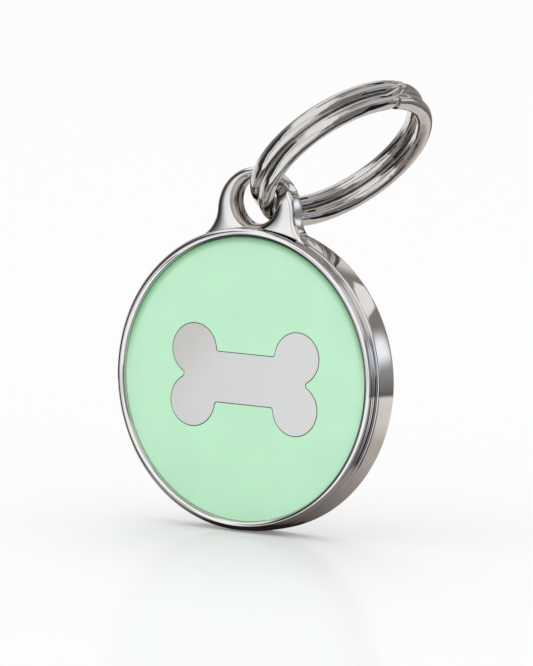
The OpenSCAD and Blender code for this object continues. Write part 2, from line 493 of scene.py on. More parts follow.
def ramp(tree, source, stops):
    """A colour ramp on source with stops of (place, colour)."""
    node = add_node(tree, "ShaderNodeValToRGB", Fac=source)
    elements = node.color_ramp.elements
    while len(elements) > 1:
        elements.remove(elements[-1])
    elements[0].position = stops[0][0]
    elements[0].color = (*stops[0][1], 1)
    for place, colour in stops[1:]:
        elements.new(place).color = (*colour, 1)
    return node.outputs["Color"]


def spread_over(tree, source, low, high):
    """The source from 0 to 1 spread from low to high."""
    node = add_node(tree, "ShaderNodeMapRange", Value=source, To_Min=low, To_Max=high)
    return node.outputs["Result"]


def smooth_step(tree, value, start, end):
    """0 at start, 1 at end and a smooth rise between them, each a number or a socket."""
    node = add_node(
        tree, "ShaderNodeMapRange", interpolation_type="SMOOTHSTEP",
        Value=value, From_Min=start, From_Max=end,
    )
    return node.outputs["Result"]


def shades(colour, *factors):
    """The colour times each factor, kept at or below 1."""
    return [tuple(min(1.0, part * factor) for part in colour) for factor in factors]


def darkened(tree, colour, mask, tint):
    """The colour multiplied by the tint where the mask is 1."""
    mixed = add_node(
        tree, "ShaderNodeMix", data_type="RGBA", blend_type="MULTIPLY",
        Factor=mask, A=colour, B=(*tint, 1),
    )
    return mixed.outputs["Result"]


# Node groups for effects that several finishes share


def new_group(name, inputs, outputs):
    """A shader node group with its inputs (name, kind, value) and its outputs (name, kind)."""
    group = bpy.data.node_groups.new(name, "ShaderNodeTree")
    for label, kind, value in inputs:
        socket = group.interface.new_socket(
            label, in_out="INPUT", socket_type=f"NodeSocket{kind}"
        )
        if value is not None:
            socket.default_value = value
    for label, kind in outputs:
        group.interface.new_socket(label, in_out="OUTPUT", socket_type=f"NodeSocket{kind}")
    return group, group.nodes.new("NodeGroupInput"), group.nodes.new("NodeGroupOutput")


def polish_group():
    """What polishing leaves: a slow ripple, fine marks and dulled spots, all from 0 to 1."""
    group, start, end = new_group(
        "polish traces",
        [("Vector", "Vector", None), ("Ripple Scale", "Float", 0.5)],
        [("Ripple", "Float"), ("Marks", "Float"), ("Dulled", "Float")],
    )
    place = start.outputs["Vector"]
    ripple = add_node(
        group, "ShaderNodeTexNoise", Vector=place,
        Scale=start.outputs["Ripple Scale"], Detail=1.5, Roughness=0.45,
    )
    drawn_out = add_node(
        group, "ShaderNodeMapping", Vector=place, Rotation=(0.4, 0.7, 0.2), Scale=(0.12, 1, 1)
    )
    marks = add_node(
        group, "ShaderNodeTexNoise", Vector=drawn_out.outputs["Vector"],
        Scale=6.0, Detail=3.0, Roughness=0.7,
    )
    spots = add_node(
        group, "ShaderNodeTexNoise", Vector=place, Scale=0.9, Detail=4.0, Roughness=0.6
    )
    dulled = add_node(
        group, "ShaderNodeMapRange", Value=spots.outputs["Fac"], From_Min=0.48, From_Max=0.75
    )
    group.links.new(ripple.outputs["Fac"], end.inputs["Ripple"])
    group.links.new(marks.outputs["Fac"], end.inputs["Marks"])
    group.links.new(dulled.outputs["Result"], end.inputs["Dulled"])


def grain_group():
    """A fine grain that is drawn out sideways, from 0 to 1."""
    group, start, end = new_group(
        "satin grain", [("Vector", "Vector", None), ("Scale", "Float", 10.0)], [("Grain", "Float")]
    )
    drawn_out = add_node(
        group, "ShaderNodeMapping", Vector=start.outputs["Vector"], Scale=(0.06, 1, 1)
    )
    grain = add_node(
        group, "ShaderNodeTexNoise", Vector=drawn_out.outputs["Vector"],
        Scale=start.outputs["Scale"], Detail=4.0, Roughness=0.65,
    )
    group.links.new(grain.outputs["Fac"], end.inputs["Grain"])


def round_rise(tree, place, middle, start, end):
    """Rises between two distances from an axis that runs from the front to the back."""
    apart = calculate_vector(tree, "SUBTRACT", place, middle)
    flat = calculate_vector(tree, "MULTIPLY", apart, (1, 0, 1))
    return smooth_step(tree, calculate_vector(tree, "LENGTH", flat), start, end)


def side_rise(tree, place, side, start, end):
    """Rises between two distances that are measured in one direction."""
    along = calculate_vector(tree, "DOT_PRODUCT", place, side)
    return smooth_step(tree, along, start, end)


def rim_shade_group():
    """Rises from one radius round the tag's axis to another on the side that Side points to, for
    painted shade.
    """
    group, start, end = new_group(
        "rim mask",
        [
            ("Vector", "Vector", None), ("Side", "Vector", (0, 0, 1)),
            ("Start", "Float", 12.0), ("End", "Float", 13.0),
        ],
        [("Mask", "Float")],
    )
    given = start.outputs
    past = round_rise(group, given["Vector"], (0, 0, 0), given["Start"], given["End"])
    beside = side_rise(group, given["Vector"], given["Side"], start=-1.0, end=6.0)
    group.links.new(calculate(group, "MULTIPLY", past, beside), end.inputs["Mask"])


def joint_shade_group():
    """Where shade is painted: the walls of the joint round the badge, which lie behind the level
    of the face.
    """
    group, start, end = new_group(
        "joint mask", [("Vector", "Vector", None), ("Face", "Float", 0.0)], [("Mask", "Float")]
    )
    level = add_node(group, "ShaderNodeSeparateXYZ", Vector=start.outputs["Vector"]).outputs["Y"]
    behind = calculate(group, "SUBTRACT", level, start.outputs["Face"])
    group.links.new(smooth_step(group, behind, start=0.02, end=0.06), end.inputs["Mask"])


# Finishes


def painted_hole_shade(tree, place, colour):
    """A brown painted shade on the rounded rim of the loop's hole and inside the hole."""
    radius = hole_radius(bpy.context.scene.pet_tag_case)
    middle = (0, 0, HOLE_MIDDLE.z / MM)
    mask = round_rise(tree, place, middle, start=radius + 0.7, end=radius + 0.5)
    return darkened(tree, colour, mask, HOLE_SHADE_TINT)


def painted_bead_shade(tree, place, colour):
    """A painted shade: a dark line along the inside of the bead, at the top and on the right."""
    rim = ENAMEL_HIGH.x / MM
    line = add_group(
        tree, "rim mask", Vector=place, Side=(0.75, 0, 0.66), Start=rim + 0.31, End=rim + 0.17
    )
    return darkened(tree, colour, line.outputs["Mask"], BEAD_SHADE_TINT)


def polished_metal(name, colour, roughness, ripple, ripple_scale, marks, shade=None):
    """Plated and polished metal, whose slow ripple and fine marks have depths in millimetres."""
    tree = new_material(name).node_tree
    place = millimetre_vector(tree)
    traces = add_group(tree, "polish traces", Vector=place, Ripple_Scale=ripple_scale).outputs
    dulled = traces["Dulled"]
    dull_colour = [part * warmth for part, warmth in zip(colour, DULLED_TINT)]
    tone = add_node(
        tree, "ShaderNodeMix", data_type="RGBA",
        Factor=dulled, A=(*colour, 1), B=(*dull_colour, 1),
    ).outputs["Result"]
    if shade:
        tone = shade(tree, place, tone)
    slow = add_node(tree, "ShaderNodeBump", Distance=ripple * MM, Height=traces["Ripple"])
    fine = add_node(
        tree, "ShaderNodeBump", Distance=marks * MM,
        Height=traces["Marks"], Normal=slow.outputs["Normal"],
    )
    metal = add_node(
        tree, "ShaderNodeBsdfPrincipled", Metallic=1.0, Base_Color=tone,
        Roughness=spread_over(tree, dulled, roughness, roughness * 1.6),
        Normal=fine.outputs["Normal"],
    )
    add_node(tree, "ShaderNodeOutputMaterial", Surface=metal.outputs["BSDF"])


def enamel_material(colour):
    """Even soft-gloss enamel with a faint cloudiness, a barely uneven surface, a painted shadow
    along the top of its lip and painted shade in the joint round the badge.
    """
    tree = new_material("pale green enamel").node_tree
    place = millimetre_vector(tree)
    clouds = add_node(
        tree, "ShaderNodeTexNoise", Vector=place, Scale=0.22, Detail=3.0, Roughness=0.5
    )
    shade, light = shades(colour, 0.965, 1.02)
    tone = ramp(tree, clouds.outputs["Fac"], [(0.3, shade), (0.7, light)])
    # A painted shadow of the bead on the enamel along its lip, strongest at the top.
    rim = ENAMEL_HIGH.x / MM
    lip = add_group(
        tree, "rim mask", Vector=place, Side=(0, 0, 1), Start=rim - 0.74, End=rim + 0.11
    )
    tone = darkened(tree, tone, lip.outputs["Mask"], LIP_SHADOW_TINT)
    # Painted shade on the walls of the enamel's opening round the badge.
    joint = add_group(tree, "joint mask", Vector=place, Face=ENAMEL_LOW.y / MM)
    tone = darkened(tree, tone, joint.outputs["Mask"], JOINT_SHADE_TINT)
    grain = add_node(tree, "ShaderNodeTexNoise", Vector=place, Scale=9.0, Detail=2.0)
    skin = add_node(
        tree, "ShaderNodeBump", Distance=0.004 * MM, Height=grain.outputs["Fac"]
    )
    glaze = add_node(
        tree, "ShaderNodeBsdfPrincipled", Base_Color=tone,
        Roughness=spread_over(tree, grain.outputs["Fac"], 0.36, 0.48),
        Normal=skin.outputs["Normal"],
    )
    add_node(tree, "ShaderNodeOutputMaterial", Surface=glaze.outputs["BSDF"])


def badge_painted_shades(tree, place, colour):
    """Painted shade that makes the badge's upper left corner a shade darker and its joint with the
    enamel dark.
    """
    corner = side_rise(tree, place, side=(-0.7, 0, 0.7), start=2.0, end=8.0)
    tone = darkened(tree, colour, corner, CORNER_SHADE_TINT)
    joint = add_group(tree, "joint mask", Vector=place, Face=BADGE_LOW.y / MM)
    return darkened(tree, tone, joint.outputs["Mask"], JOINT_SHADE_TINT)


def satin_metal(name, colour, metallic, roughness, grain_scale, shade=None):
    """Satin metal with a fine grain that is drawn out sideways."""
    tree = new_material(name).node_tree
    place = millimetre_vector(tree)
    grain = add_group(tree, "satin grain", Vector=place, Scale=grain_scale).outputs["Grain"]
    dark, plain = shades(colour, 0.975, 1.0)
    tone = ramp(tree, grain, [(0.3, dark), (0.7, plain)])
    if shade:
        tone = shade(tree, place, tone)
    lines = add_node(tree, "ShaderNodeBump", Distance=0.002 * MM, Height=grain)
    metal = add_node(
        tree, "ShaderNodeBsdfPrincipled", Metallic=metallic, Base_Color=tone,
        Roughness=spread_over(tree, grain, roughness * 0.85, roughness * 1.15),
        Normal=lines.outputs["Normal"],
    )
    add_node(tree, "ShaderNodeOutputMaterial", Surface=metal.outputs["BSDF"])


def film_material(colour):
    """Cloudy adhesive film."""
    tree = new_material("adhesive film").node_tree
    clouds = add_node(
        tree, "ShaderNodeTexNoise", Vector=millimetre_vector(tree), Scale=1.5, Detail=4.0
    )
    shade, plain = shades(colour, 0.9, 1.0)
    tone = ramp(tree, clouds.outputs["Fac"], [(0.35, shade), (0.65, plain)])
    film = add_node(tree, "ShaderNodeBsdfPrincipled", Base_Color=tone, Roughness=0.6)
    add_node(tree, "ShaderNodeOutputMaterial", Surface=film.outputs["BSDF"])


# Operators


class PETTAG_OT_case(bpy.types.Operator):
    """Turn the cast body: side band, shoulder, pocket and the recess at the back"""

    bl_idname = "pettag.case"
    bl_label = "Case"

    def execute(self, context):
        sizes = context.scene.pet_tag_case
        radius = CASE_HIGH.x / MM
        front = (CASE_LOW.y + sizes.loop_proud) / MM
        back = CASE_HIGH.y / MM
        pocket = radius - sizes.wall / MM
        floor = front + sizes.pocket_depth / MM
        recess = PLATE_HIGH.x / MM + sizes.plate_clearance / MM
        ceiling = back - sizes.recess_depth / MM
        crown = sizes.crown / MM
        front_edge, back_edge = sizes.front_edge / MM, sizes.back_edge / MM
        band_radius = radius - crown
        band_back, band_front = back - back_edge, front + front_edge
        edge_steps, band_steps = 6, 12

        outline = [(0, ceiling), (recess, ceiling), (recess, back)]
        outline += arc(
            (band_radius - back_edge, band_back), back_edge, QUARTER_TURN, 0, edge_steps
        )
        for i in range(1, band_steps):
            share = i / band_steps
            bulge = crown * (1 - (2 * share - 1) ** 2)
            outline.append((band_radius + bulge, band_back + (band_front - band_back) * share))
        outline += arc(
            (band_radius - front_edge, band_front), front_edge, 0, -QUARTER_TURN, edge_steps
        )
        outline += [(pocket, front), (pocket, floor), (0, floor)]

        piece = start_piece("case_body")
        turn_outline(outline, sizes.segments)
        finish_piece(piece, "tag", "polished plating", "case")
        return {"FINISHED"}


class PETTAG_OT_loop(bpy.types.Operator):
    """Draw the hanging loop with its flared feet, bore it and round its rims"""

    bl_idname = "pettag.loop"
    bl_label = "Hanging loop"

    def execute(self, context):
        sizes = context.scene.pet_tag_case
        case_radius = CASE_HIGH.x / MM
        front = CASE_LOW.y / MM
        back = front + sizes.loop_depth / MM
        hole_z = HOLE_MIDDLE.z / MM
        bore = hole_radius(sizes)
        loop_radius = bore + sizes.loop_side / MM
        loop_z = CASE_HIGH.z / MM - loop_radius
        flare = sizes.flare / MM
        case_reach, loop_reach = case_radius + flare, loop_radius + flare
        flare_z = (case_reach ** 2 - loop_reach ** 2 + loop_z ** 2) / (2 * loop_z)
        flare_x = math.sqrt(case_reach ** 2 - flare_z ** 2)
        loop_turn = math.atan2(flare_z - loop_z, flare_x)
        foot_turn = math.atan2(flare_z, flare_x)
        bead_gap = 0.02
        root_radius = BEAD_HIGH.x / MM + bead_gap
        arch_steps, flare_steps, root_steps, rim_steps = 72, 20, 16, 7

        def outline(inset, level):
            """The loop's outline at one level, drawn in by the inset."""
            radius = flare + inset
            across = (case_reach ** 2 + radius ** 2 - root_radius ** 2) / (2 * case_reach * radius)
            foot = foot_turn - math.acos(min(1, across))
            top_radius = loop_radius - inset
            arch = arc((0, loop_z), top_radius, loop_turn, math.pi - loop_turn, arch_steps)
            left = arc((-flare_x, flare_z), radius, -loop_turn, -foot, flare_steps)
            toe = math.atan2(flare_z - radius * math.sin(foot), flare_x - radius * math.cos(foot))
            root = arc((0, 0), root_radius, math.pi - toe, toe, root_steps)
            right = [(-x, z) for x, z in reversed(left)]
            points = arch[:-1] + left + root[1:-1] + right[:-1]
            return [(x, level, z) for x, z in points]

        def rounding(edge):
            """Insets and levels from the front face round the front and the back rim."""
            turns = [QUARTER_TURN * i / rim_steps for i in range(rim_steps + 1)]
            near = [(edge * (1 - math.sin(t)), front + edge * (1 - math.cos(t))) for t in turns]
            return near + [(inset, front + back - level) for inset, level in reversed(near)]

        piece = start_piece("hanging_loop")
        for inset, level in rounding(sizes.loop_edge / MM):
            draw_line(outline(inset, level), closed=True)
        around = len(outline(0, front))
        for inset, level in reversed(rounding(sizes.hole_edge / MM)):
            bpy.ops.mesh.select_all(action="DESELECT")
            bpy.ops.mesh.primitive_circle_add(
                vertices=around, radius=bore + inset,
                location=(0, level, hole_z), rotation=(QUARTER_TURN, 0, 0),
            )
        bridge_in_order(piece, around)
        finish_piece(piece, "tag", "polished plating", "case")
        return {"FINISHED"}


class PETTAG_OT_bezel(bpy.types.Operator):
    """Turn the polished bead with its hollow flank"""

    bl_idname = "pettag.bezel"
    bl_label = "Bezel ring"

    def execute(self, context):
        sizes = context.scene.pet_tag_bezel
        case = context.scene.pet_tag_case
        outer = BEAD_HIGH.x / MM
        foot = BEAD_HIGH.y / MM
        shoulder = (CASE_LOW.y + case.loop_proud) / MM
        fit = 0.02
        skirt = (CASE_HIGH.x - case.wall) / MM - fit
        bead = sizes.width / MM / 2
        inner = outer - 2 * bead
        level = BEAD_LOW.y / MM + bead
        cove = sizes.cove_radius / MM
        cove_x = outer - sizes.cove_depth / MM + cove
        cove_y = (shoulder + level) / 2
        reach = math.acos((cove_x - outer) / cove)
        bead_steps, cove_steps = 28, 12

        # The bead and the hollow stop short of the outer side, which breaks the edge between them.
        bead_end = FULL_TURN - 0.2
        cove_start = math.pi + reach * 0.93
        outline = [(inner, foot)]
        outline += arc((inner + bead, level), bead, math.pi, bead_end, bead_steps)
        outline += arc((cove_x, cove_y), cove, cove_start, math.pi - reach, cove_steps)
        outline += [(outer, shoulder), (skirt, shoulder), (skirt, foot), (inner, foot)]

        piece = start_piece("bezel_bead")
        turn_outline(outline, case.segments)
        finish_piece(piece, "tag", "mirror plating", "bezel_ring", sharp=50)
        return {"FINISHED"}


def badge_outline(sizes, level, grow):
    """The badge's outline at a level, grown on all sides by grow."""
    lobe_x, lobe_z = sizes.lobe_x / MM, sizes.lobe_z / MM
    radius = BADGE_HIGH.z / MM - lobe_z + grow
    half = sizes.shaft_height / MM / 2 + grow
    fillet = sizes.shaft_fillet / MM - grow
    notch = sizes.notch_fillet / MM - grow
    fillet_z = half + fillet
    fillet_x = lobe_x - math.sqrt((radius + fillet) ** 2 - (fillet_z - lobe_z) ** 2)
    notch_x = lobe_x + math.sqrt((radius + notch) ** 2 - lobe_z ** 2)
    from_shaft = math.atan2(fillet_z - lobe_z, fillet_x - lobe_x)
    to_notch = math.atan2(-lobe_z, notch_x - lobe_x)
    fillet_steps, lobe_steps = 7, 44

    quarter = [(0, half)]
    quarter += arc(
        (fillet_x, fillet_z), fillet, -QUARTER_TURN, from_shaft - math.pi, fillet_steps
    )
    quarter += arc((lobe_x, lobe_z), radius, from_shaft, to_notch, lobe_steps)[1:]
    quarter += arc((notch_x, 0), notch, math.pi + to_notch, math.pi, fillet_steps)[1:]
    right = quarter + [(x, -z) for x, z in reversed(quarter)][1:]
    left = [(-x, -z) for x, z in right][1:-1]
    return [(x, level, z) for x, z in right + left]


class PETTAG_OT_enamel(bpy.types.Operator):
    """Pour the enamel round the badge's opening, with its edge climbing at the bead"""

    bl_idname = "pettag.enamel"
    bl_label = "Enamel"

    def execute(self, context):
        sizes = context.scene.pet_tag_face
        radius = ENAMEL_HIGH.x / MM
        top = ENAMEL_LOW.y / MM
        depth = ENAMEL_HIGH.y / MM - top
        climb = sizes.meniscus / MM
        rim_points = 240
        lip_steps = ((0.06, 0.5), (0.14, 0.3), (0.3, 0.2))  # step inwards, share of the climb

        piece = start_piece("enamel_face")
        bpy.ops.mesh.primitive_circle_add(
            vertices=rim_points, radius=radius,
            location=(0, top - climb, 0), rotation=(QUARTER_TURN, 0, 0),
        )
        bpy.ops.mesh.select_mode(type="EDGE")
        for inset, drop in lip_steps:
            bpy.ops.mesh.extrude_region_move(
                TRANSFORM_OT_translate={"value": (0, climb * drop, 0)}
            )
            share = (radius - inset) / radius
            bpy.ops.transform.resize(value=(share, 1, share), center_override=(0, 0, 0))
            radius = radius - inset
        draw_line(badge_outline(sizes, top, sizes.joint_line / MM), closed=True)
        lip = radius + 0.01

        def beside_the_field(edge):
            """Whether an edge is the lip's inner edge or the opening's."""
            near = all(math.hypot(v.co.x, v.co.z) < lip for v in edge.verts)
            return edge.is_wire or (edge.is_boundary and near)

        pick(piece, "edges", beside_the_field)
        bpy.ops.mesh.bridge_edge_loops()
        bpy.ops.mesh.select_all(action="SELECT")
        bpy.ops.mesh.normals_make_consistent(inside=False)
        bpy.ops.mesh.extrude_region_move(TRANSFORM_OT_translate={"value": (0, depth, 0)})
        finish_piece(piece, "tag", "pale green enamel", "enamel_fill")
        return {"FINISHED"}


class PETTAG_OT_badge(bpy.types.Operator):
    """Cut the bone badge and break its edge"""

    bl_idname = "pettag.badge"
    bl_label = "Bone badge"

    def execute(self, context):
        sizes = context.scene.pet_tag_face
        top = BADGE_LOW.y / MM
        foot = ENAMEL_HIGH.y / MM
        broken_edge = 0.07
        piece = start_piece("bone_badge_face")
        draw_line(badge_outline(sizes, top, 0), closed=True)
        bpy.ops.mesh.select_all(action="SELECT")
        bpy.ops.mesh.edge_face_add()
        bpy.ops.mesh.extrude_region_move(TRANSFORM_OT_translate={"value": (0, foot - top, 0)})
        bpy.ops.mesh.select_all(action="SELECT")
        bpy.ops.mesh.normals_make_consistent(inside=False)
        pick(piece, "edges", lambda edge: all(abs(v.co.y - top) < TOUCHING for v in edge.verts))
        bpy.ops.mesh.bevel(offset=broken_edge, segments=3, affect="EDGES", clamp_overlap=False)
        finish_piece(piece, "tag", "satin silver", "bone_badge")
        return {"FINISHED"}


class PETTAG_OT_back(bpy.types.Operator):
    """Turn the blank back plate, and finish the adhesive behind it"""

    bl_idname = "pettag.back"
    bl_label = "Back plate"

    def execute(self, context):
        radius = PLATE_HIGH.x / MM
        front, back = PLATE_LOW.y / MM, PLATE_HIGH.y / MM
        edge, edge_steps = 0.1, 5
        outline = [(0, front), (radius, front)]
        outline += arc((radius - edge, back - edge), edge, 0, QUARTER_TURN, edge_steps)
        outline += [(0, back)]
        piece = start_piece("blank_plate")
        turn_outline(outline, context.scene.pet_tag_case.segments)
        finish_piece(piece, "tag", "brushed steel", "back_plate")

        film = frame["nodes"]["adhesive_disc"]
        film.data.materials.clear()
        film.data.materials.append(bpy.data.materials["adhesive film"])
        return {"FINISHED"}


class PETTAG_OT_ring(bpy.types.Operator):
    """Wind the split ring's wire twice round, with its crossing and its ground ends"""

    bl_idname = "pettag.ring"
    bl_label = "Split ring"

    def execute(self, context):
        sizes = context.scene.pet_tag_ring
        wire = sizes.wire / MM / 2
        middle = sizes.diameter / MM / 2 - wire
        gap = sizes.turn_gap / MM
        offset = wire + gap / 2
        half = math.degrees(sizes.crossing_half)
        reach = math.degrees(sizes.end_reach)
        lap = 360
        fine_step, plain_step = 1.0, 3.0

        def crossing(angle):
            """Level of the wire's middle at an angle in degrees, and the cosine of its slope."""
            share = max(0, min(2, (angle - lap + half) / half))
            level = offset * math.cos(share * QUARTER_TURN)
            rise = offset * QUARTER_TURN / math.radians(half) * math.sin(share * QUARTER_TURN)
            return level, math.cos(math.atan(rise / middle))

        def skin(angle, around):
            """Level of a point on the wire's round skin."""
            level, slope = crossing(angle)
            return level + wire * math.sin(around) / slope

        def ground(angle, around):
            """The same, with each end ground off to lie against the other turn."""
            height = skin(angle, around)
            if angle < half and math.sin(around) < 0:
                return max(height, skin(angle + lap, -around) + gap)
            if angle > 2 * lap - half and math.sin(around) > 0:
                return min(height, skin(angle - lap, -around) - gap)
            return height

        piece = start_piece("split_ring_wire")
        bpy.ops.mesh.primitive_circle_add(
            vertices=sizes.sides, radius=wire, fill_type="NGON",
            location=(middle, 0, 0), rotation=(QUARTER_TURN, 0, 0),
        )
        angles = [-reach]
        for start, end, step in (
            (-reach, half, fine_step), (half, lap - half, plain_step),
            (lap - half, lap + half, fine_step), (lap + half, 2 * lap - half, plain_step),
            (2 * lap - half, 2 * lap + reach, fine_step),
        ):
            count = round((end - start) / step)
            angles += [start + (end - start) * (i + 1) / count for i in range(count)]
            bpy.ops.mesh.spin(
                steps=count, angle=math.radians(end - start), use_auto_merge=False,
                center=(0, 0, 0), axis=(0, 0, 1),
            )
        mesh = bmesh.from_edit_mesh(piece.data)
        mesh.verts.ensure_lookup_table()
        sections = len(mesh.verts) // sizes.sides
        if sections != len(angles):
            raise RuntimeError(f"the wire has {sections} sections for {len(angles)} angles")
        for index, angle in enumerate(angles):
            for side in range(sizes.sides):
                vertex = mesh.verts[index * sizes.sides + side]
                across = math.hypot(vertex.co.x, vertex.co.y) - middle
                vertex.co.z = ground(angle, math.atan2(vertex.co.z, across))
        bmesh.update_edit_mesh(piece.data)

        normal = Vector(RING_MOUNT["axis"]).normalized()
        centre = Vector(RING_MOUNT["pos_m"])
        towards = HOLE_MIDDLE - centre
        towards = (towards - normal * towards.dot(normal)).normalized()
        aside = normal.cross(towards)
        turn = sizes.crossing_angle - sizes.end_reach
        place = Matrix((towards, aside, normal)).transposed().to_4x4()
        place = Matrix.Translation(centre / MM) @ place @ Matrix.Rotation(turn, 4, "Z")
        clear_selection()
        piece.data.transform(place)
        piece.select_set(True)
        context.view_layer.objects.active = piece
        bpy.ops.object.mode_set(mode="EDIT")
        finish_piece(piece, "ring", "wire plating", "split_ring", sharp=50)
        return {"FINISHED"}


class PETTAG_OT_finishes(bpy.types.Operator):
    """Mix the finishes: platings, enamel, satin silver, brushed steel and adhesive"""

    bl_idname = "pettag.finishes"
    bl_label = "Finishes"

    def execute(self, context):
        colours = context.scene.pet_tag_finishes
        for build_group in (polish_group, grain_group, rim_shade_group, joint_shade_group):
            build_group()
        # The polished plating gets a painted shade in and round the loop's hole.
        polished_metal(
            "polished plating", colours.plating, roughness=0.04,
            ripple=0.004, ripple_scale=0.35, marks=0.0004, shade=painted_hole_shade,
        )
        # The mirror plating gets a painted shade along the inside of the bead.
        polished_metal(
            "mirror plating", colours.plating, roughness=0.03,
            ripple=0.003, ripple_scale=0.3, marks=0.0003, shade=painted_bead_shade,
        )
        polished_metal(
            "wire plating", colours.wire, roughness=0.04,
            ripple=0.11, ripple_scale=0.55, marks=0.0005,
        )
        enamel_material(colours.enamel)
        # The satin silver gets painted shade on the badge's upper left corner and in its joint.
        satin_metal(
            "satin silver", colours.badge, metallic=0.25, roughness=0.36,
            grain_scale=14.0, shade=badge_painted_shades,
        )
        satin_metal(
            "brushed steel", colours.plate, metallic=0.8, roughness=0.3, grain_scale=10.0
        )
        film_material(colours.adhesive)
        return {"FINISHED"}


# Stage


def studio_panel_group():
    """Lays one soft-edged rectangular panel over the light that comes from all round."""
    group, start, end = new_group(
        "studio panel",
        [
            ("Base", "Color", (1, 1, 1, 1)), ("Colour", "Color", (1, 1, 1, 1)),
            ("Direction", "Vector", None), ("Facing", "Vector", (0, 1, 0)),
            ("Side", "Vector", (1, 0, 0)), ("Up", "Vector", (0, 0, 1)),
            ("Half Width", "Float", 0.3), ("Half Height", "Float", 0.3),
            ("Softness", "Float", 0.03),
        ],
        [("Light", "Color")],
    )
    given = start.outputs

    def along(axis):
        """How far the direction goes along one of the panel's axes."""
        return calculate_vector(group, "DOT_PRODUCT", given["Direction"], given[axis])

    facing = along("Facing")
    ahead = calculate(group, "MAXIMUM", facing, 0.001)
    soft_edge = calculate(group, "MULTIPLY", given["Softness"], -1)
    mask = calculate(group, "GREATER_THAN", facing, 0)
    for axis, size in (("Side", "Half Width"), ("Up", "Half Height")):
        across = calculate(group, "DIVIDE", calculate(group, "ABSOLUTE", along(axis)), ahead)
        inside = calculate(group, "SUBTRACT", given[size], across)
        step = smooth_step(group, inside, soft_edge, given["Softness"])
        mask = calculate(group, "MULTIPLY", mask, step)
    laid = add_node(
        group, "ShaderNodeMix", data_type="RGBA", Factor=mask, A=given["Base"], B=given["Colour"]
    )
    group.links.new(laid.outputs["Result"], end.inputs["Light"])


# What the polished metal sees from the lowest to the highest direction: a painted shadow under
# the tag, the floor, its far edge, the dark backdrop and the ceiling.
STUDIO_LEVELS = [
    # sine of the elevation, colour
    (-0.945, (0.02, 0.018, 0.016)),
    (-0.925, (0.12, 0.11, 0.10)),
    (-0.83, (0.26, 0.24, 0.23)),
    (-0.70, (0.42, 0.38, 0.36)),
    (-0.56, (0.60, 0.55, 0.52)),
    (-0.45, (0.61, 0.57, 0.53)),
    (-0.38, (0.82, 0.78, 0.75)),
    (-0.30, (0.93, 0.89, 0.87)),
    (-0.145, (1.0, 0.98, 0.97)),
    (-0.125, (0.17, 0.165, 0.16)),
    (-0.02, (0.33, 0.33, 0.33)),
    (0.06, (0.42, 0.42, 0.43)),
    (0.2, (0.31, 0.30, 0.29)),
    (0.45, (0.30, 0.28, 0.26)),
    (0.70, (0.34, 0.32, 0.30)),
    (0.75, (0.62, 0.60, 0.58)),
    (0.80, (0.05, 0.05, 0.05)),
    (0.88, (0.04, 0.04, 0.04)),
    (0.92, (0.75, 0.74, 0.73)),
    (0.97, (0.50, 0.47, 0.44)),
    (1.0, (0.35, 0.33, 0.31)),
]
STUDIO_PANELS = [
    # name, azimuth from straight back towards +X, elevation, half width, half height and
    # softness in degrees, colour
    ("camera side", 177, 6, 41, 56, 5, (1.4, 1.45, 1.5)),
    ("camera side low", 174, 0, 30, 4, 5, (1.0, 1.03, 1.06)),
    ("front card", -148, -7, 5, 5, 2, (1.05, 1.09, 1.12)),
    ("left middle", -52, 18, 15, 16, 8, (0.6, 0.6, 0.62)),
    ("left sweep", -68, -10, 23, 12, 6, (1.25, 1.3, 1.34)),
    ("top left", -82, 55, 42, 15, 5, (1.3, 1.35, 1.4)),
    ("left flag", -126.5, -3, 18, 30, 4, (0.05, 0.05, 0.06)),
    ("front line", -158.6, -3, 2.5, 26, 0.8, (0.12, 0.15, 0.24)),
    ("right top", 85, 45, 45, 18, 6, (0.85, 0.86, 0.88)),
    ("right grey", 104, -10, 12, 35, 5, (0.25, 0.27, 0.31)),
    ("right flag", 76, -18, 14, 22, 3, (0.02, 0.02, 0.03)),
    ("right blue", 70, 12, 12, 8, 4, (0.5, 0.62, 0.85)),
    ("window", 40, 11.5, 13, 5.5, 4, (1.3, 1.4, 1.53)),
    ("back card", 19, 28.3, 9.5, 4, 0.6, (1.15, 1.15, 1.14)),
    ("back left", -12, 30, 11, 5, 4, (0.9, 0.88, 0.87)),
    ("white sweep", -35, 10, 12, 8, 2.5, (1.0, 1.0, 1.0)),
]


def studio_light_group():
    """The studio as the polished metal sees it in a direction."""
    studio_panel_group()
    group, start, end = new_group(
        "studio light", [("Direction", "Vector", None)], [("Light", "Color")]
    )
    direction = calculate_vector(group, "NORMALIZE", start.outputs["Direction"])
    split = add_node(group, "ShaderNodeSeparateXYZ", Vector=direction)
    height = add_node(group, "ShaderNodeMapRange", Value=split.outputs["Z"], From_Min=-1)
    stops = [((sine + 1) / 2, colour) for sine, colour in STUDIO_LEVELS]
    light = ramp(group, height.outputs["Result"], stops)
    for label, azimuth, elevation, width, tall, soft, colour in STUDIO_PANELS:
        turn, lift = math.radians(azimuth), math.radians(elevation)
        facing = Vector(
            (math.sin(turn) * math.cos(lift), math.cos(turn) * math.cos(lift), math.sin(lift))
        )
        side = Vector((math.cos(turn), -math.sin(turn), 0))
        light = add_group(
            group, "studio panel", label=label, Base=light, Colour=(*colour, 1),
            Direction=direction, Facing=facing, Side=side, Up=side.cross(facing),
            Half_Width=math.tan(math.radians(width)), Half_Height=math.tan(math.radians(tall)),
            Softness=math.tan(math.radians(soft)),
        ).outputs["Light"]
    group.links.new(light, end.inputs["Light"])


def mix_shaders(tree, share, first, second):
    """The first shader where the share is 0 and the second where it is 1."""
    node = add_node(tree, "ShaderNodeMixShader", Fac=share)
    tree.links.new(first, node.inputs[1])
    tree.links.new(second, node.inputs[2])
    return node.outputs[0]


